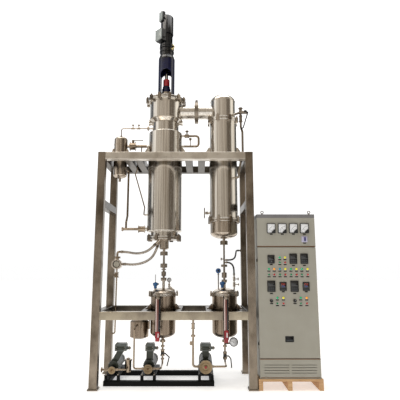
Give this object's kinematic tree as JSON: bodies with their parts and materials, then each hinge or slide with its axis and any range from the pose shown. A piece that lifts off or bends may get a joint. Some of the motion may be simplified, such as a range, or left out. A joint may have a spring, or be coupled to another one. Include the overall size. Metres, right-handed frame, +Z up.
{
  "type": "thin film evaporator",
  "caption": "Wiped thin film evaporator with condenser, receivers and pumps on a steel frame, with a control cabinet.",
  "frame": {"origin": "middle of the whole set's footprint, on the floor", "axes": "+X to the right seen from the front, +Y away from the viewer, +Z up"},
  "size_m": [2.3024, 0.7764, 4.236],
  "materials": {
    "frame_steel": "brushed stainless, satin",
    "vessel_steel": "brushed stainless, bright",
    "fitting_steel": "machined stainless",
    "inner_steel": "polished stainless",
    "wiper_polymer": "filled polymer, off-white",
    "stand_blue": "dark blue paint",
    "drive_black": "black paint",
    "reducer_black": "black paint, satin",
    "metal_hose": "braided stainless",
    "black_rubber": "black rubber",
    "gauge_white": "mixed gauge housings",
    "pump_black": "black paint, gloss",
    "pump_grey": "grey-green paint",
    "pump_head_steel": "machined stainless",
    "cabinet_grey": "warm light grey powder coat",
    "gear_plastic": "moulded housings",
    "handle_black": "black plastic",
    "instrument_black": "black plastic",
    "meter_black": "black bezel, white dial",
    "switch_black": "black plastic",
    "button_green": "green plastic",
    "button_red": "red plastic",
    "pallet_wood": "sawn softwood"
  },
  "bodies": {
    "frame": {"bottom_head": "vessel_steel", "cabinet_pallet": "pallet_wood", "cabinet_shell": "cabinet_grey", "condenser_dome": "vessel_steel", "condenser_pot": "vessel_steel", "condenser_shell": "vessel_steel", "condenser_tubes": "inner_steel", "control_gear": "gear_plastic", "drive_motor": "drive_black", "evaporator_body": "vessel_steel", "feed_preheater": "vessel_steel", "flange_clamps": "fitting_steel", "flow_sight_glass": "fitting_steel", "frame_beams": "frame_steel", "frame_posts": "frame_steel", "frame_rails": "frame_steel", "gauges": "gauge_white", "gear_reducer": "reducer_black", "heating_jacket": "vessel_steel", "heating_pipes": "fitting_steel", "lower_hose": "metal_hose", "motor_stand": "stand_blue", "outlet_lines": "fitting_steel", "panel_meters": "meter_black", "pump_frame": "pump_black", "pump_heads": "pump_head_steel", "pump_motors": "pump_grey", "pump_pipes": "fitting_steel", "receiver_hose": "black_rubber", "receiver_lids": "vessel_steel", "receiver_tanks": "vessel_steel", "seal_and_bearing": "fitting_steel", "top_cover": "vessel_steel", "upper_hose": "metal_hose", "vent_hose": "black_rubber"},
    "rotor": {"rotor_shaft": "inner_steel", "wiper_blades": "wiper_polymer"},
    "door": {"cabinet_door": "cabinet_grey", "panel_instruments": "instrument_black"},
    "main_switch": {"main_switch": "switch_black"},
    "speed_knob_1": {"speed_knob_1": "switch_black"},
    "speed_knob_2": {"speed_knob_2": "switch_black"},
    "vent_lever": {"vent_lever": "handle_black"},
    "left_drain_lever": {"left_drain_lever": "handle_black"},
    "right_drain_lever": {"right_drain_lever": "handle_black"},
    "preheater_valve_lever": {"preheater_valve_lever": "fitting_steel"},
    "push_button_1": {"push_button_1": "button_green"},
    "push_button_2": {"push_button_2": "button_red"},
    "push_button_3": {"push_button_3": "button_green"},
    "push_button_4": {"push_button_4": "button_red"},
    "push_button_5": {"push_button_5": "button_green"},
    "push_button_6": {"push_button_6": "button_red"},
    "push_button_7": {"push_button_7": "button_green"},
    "push_button_8": {"push_button_8": "button_red"},
    "push_button_9": {"push_button_9": "button_green"},
    "push_button_10": {"push_button_10": "button_red"},
    "push_button_11": {"push_button_11": "button_green"},
    "push_button_12": {"push_button_12": "button_red"},
    "push_button_13": {"push_button_13": "button_green"},
    "push_button_14": {"push_button_14": "button_red"}
  },
  "joints": [
    {"name": "rotor_spin", "type": "hinge", "parent": "frame", "child": "rotor", "pos_m": [-0.4542, 0.02175, 2.2], "axis": [0, 0, 1], "continuous": true},
    {"name": "door_hinge", "type": "hinge", "parent": "frame", "child": "door", "pos_m": [0.5292, -0.31225, 0.84], "axis": [0, 0, -1], "range_deg": [0, 110]},
    {"name": "main_switch_turn", "type": "hinge", "parent": "frame", "child": "main_switch", "pos_m": [1.0242, -0.32425, 1.47], "axis": [0, -1, 0], "range_deg": [-90, 0]},
    {"name": "vent_lever_turn", "type": "hinge", "parent": "frame", "child": "vent_lever", "pos_m": [0.4498, -0.20425, 2.903], "axis": [0, -1, 0], "range_deg": [0, 90]},
    {"name": "left_drain_turn", "type": "hinge", "parent": "frame", "child": "left_drain_lever", "pos_m": [-0.4542, -0.02225, 0.286], "axis": [0, -1, 0], "range_deg": [0, 90]},
    {"name": "right_drain_turn", "type": "hinge", "parent": "frame", "child": "right_drain_lever", "pos_m": [0.2128, -0.02225, 0.261], "axis": [0, -1, 0], "range_deg": [0, 90]},
    {"name": "preheater_valve_turn", "type": "hinge", "parent": "frame", "child": "preheater_valve_lever", "pos_m": [-0.8317, 0.02175, 2.628], "axis": [0, 0, 1], "range_deg": [0, 90]},
    {"name": "speed_knob_1_turn", "type": "hinge", "parent": "door", "child": "speed_knob_1", "pos_m": [0.6662, -0.32425, 0.851], "axis": [0, 1, 0], "range_deg": [-135, 135]},
    {"name": "speed_knob_2_turn", "type": "hinge", "parent": "door", "child": "speed_knob_2", "pos_m": [0.9022, -0.32425, 0.851], "axis": [0, 1, 0], "range_deg": [-135, 135]},
    {"name": "push_button_1_push", "type": "slide", "parent": "door", "child": "push_button_1", "axis": [0, 1, 0], "range_m": [0, 0.004], "stiffness_N_per_m": 400, "springref_m": -0.001},
    {"name": "push_button_2_push", "type": "slide", "parent": "door", "child": "push_button_2", "axis": [0, 1, 0], "range_m": [0, 0.004], "stiffness_N_per_m": 400, "springref_m": -0.001},
    {"name": "push_button_3_push", "type": "slide", "parent": "door", "child": "push_button_3", "axis": [0, 1, 0], "range_m": [0, 0.004], "stiffness_N_per_m": 400, "springref_m": -0.001},
    {"name": "push_button_4_push", "type": "slide", "parent": "door", "child": "push_button_4", "axis": [0, 1, 0], "range_m": [0, 0.004], "stiffness_N_per_m": 400, "springref_m": -0.001},
    {"name": "push_button_5_push", "type": "slide", "parent": "door", "child": "push_button_5", "axis": [0, 1, 0], "range_m": [0, 0.004], "stiffness_N_per_m": 400, "springref_m": -0.001},
    {"name": "push_button_6_push", "type": "slide", "parent": "door", "child": "push_button_6", "axis": [0, 1, 0], "range_m": [0, 0.004], "stiffness_N_per_m": 400, "springref_m": -0.001},
    {"name": "push_button_7_push", "type": "slide", "parent": "door", "child": "push_button_7", "axis": [0, 1, 0], "range_m": [0, 0.004], "stiffness_N_per_m": 400, "springref_m": -0.001},
    {"name": "push_button_8_push", "type": "slide", "parent": "door", "child": "push_button_8", "axis": [0, 1, 0], "range_m": [0, 0.004], "stiffness_N_per_m": 400, "springref_m": -0.001},
    {"name": "push_button_9_push", "type": "slide", "parent": "door", "child": "push_button_9", "axis": [0, 1, 0], "range_m": [0, 0.004], "stiffness_N_per_m": 400, "springref_m": -0.001},
    {"name": "push_button_10_push", "type": "slide", "parent": "door", "child": "push_button_10", "axis": [0, 1, 0], "range_m": [0, 0.004], "stiffness_N_per_m": 400, "springref_m": -0.001},
    {"name": "push_button_11_push", "type": "slide", "parent": "door", "child": "push_button_11", "axis": [0, 1, 0], "range_m": [0, 0.004], "stiffness_N_per_m": 400, "springref_m": -0.001},
    {"name": "push_button_12_push", "type": "slide", "parent": "door", "child": "push_button_12", "axis": [0, 1, 0], "range_m": [0, 0.004], "stiffness_N_per_m": 400, "springref_m": -0.001},
    {"name": "push_button_13_push", "type": "slide", "parent": "door", "child": "push_button_13", "axis": [0, 1, 0], "range_m": [0, 0.004], "stiffness_N_per_m": 400, "springref_m": -0.001},
    {"name": "push_button_14_push", "type": "slide", "parent": "door", "child": "push_button_14", "axis": [0, 1, 0], "range_m": [0, 0.004], "stiffness_N_per_m": 400, "springref_m": -0.001}
  ]
}
